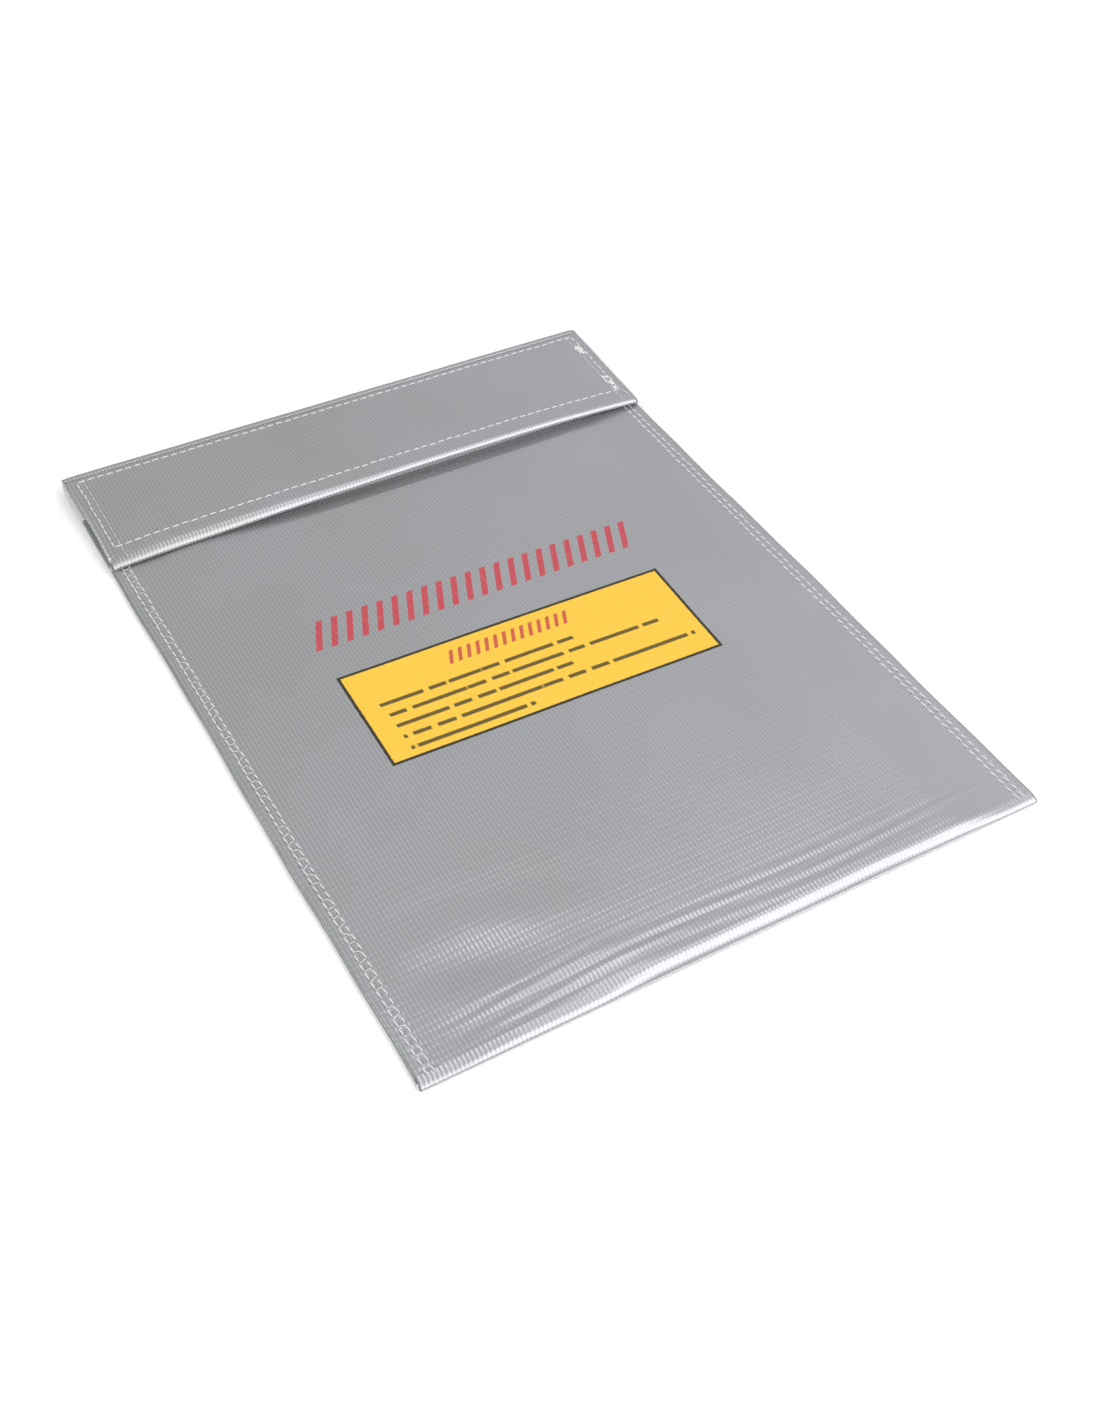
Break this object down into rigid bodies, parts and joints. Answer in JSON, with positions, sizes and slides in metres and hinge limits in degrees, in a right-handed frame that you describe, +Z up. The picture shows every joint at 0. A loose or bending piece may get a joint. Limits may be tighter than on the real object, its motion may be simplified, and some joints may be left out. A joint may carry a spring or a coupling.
{
  "type": "fire-resistant battery bag",
  "caption": "Flat sewn pouch of coated glass-fibre cloth with double-stitched side seams, an open-topped pocket and a hook-and-loop front flap.",
  "frame": {"origin": "centre of the closed bag's footprint, on the surface it lies on", "axes": "+X across the bag to the right, +Y along the bag from the bottom fold to the flap's crease, +Z up out of the front panel"},
  "size_m": [0.228, 0.305, 0.0082],
  "materials": {
    "coated_cloth": "satin silver coating over a coarse plain weave",
    "inner_cloth": "matt uncoated glass-fibre weave",
    "loop_tape": "matt looped pile",
    "hook_tape": "matt hooked pile",
    "thread": "matt twisted thread"
  },
  "bodies": {
    "pouch": {"back_panel": "coated_cloth", "bottom_fold": "coated_cloth", "front_panel": "coated_cloth", "left_seam_allowance": "inner_cloth", "right_seam_allowance": "inner_cloth", "mouth_hem": "coated_cloth", "loop_tape": "loop_tape", "flap_fold": "coated_cloth", "left_outer_seam_stitching": "thread", "left_inner_seam_stitching": "thread", "right_outer_seam_stitching": "thread", "right_inner_seam_stitching": "thread", "mouth_hem_stitching": "thread", "loop_tape_upper_stitching": "thread", "loop_tape_lower_stitching": "thread"},
    "flap": {"flap_cover": "coated_cloth", "flap_edge_hem": "coated_cloth", "flap_left_hem": "coated_cloth", "flap_right_hem": "coated_cloth", "hook_tape": "hook_tape", "flap_upper_stitching": "thread", "flap_lower_stitching": "thread", "flap_left_outer_stitching": "thread", "flap_left_inner_stitching": "thread", "flap_right_outer_stitching": "thread", "flap_right_inner_stitching": "thread", "flap_upper_back_tack": "thread", "flap_lower_back_tack": "thread"}
  },
  "joints": [
    {"name": "flap_crease", "type": "hinge", "parent": "pouch", "child": "flap", "pos_m": [0, 0.1525, 0.0039], "axis": [-1, 0, 0], "range_deg": [0, 178], "deforming": ["flap_fold"]}
  ]
}
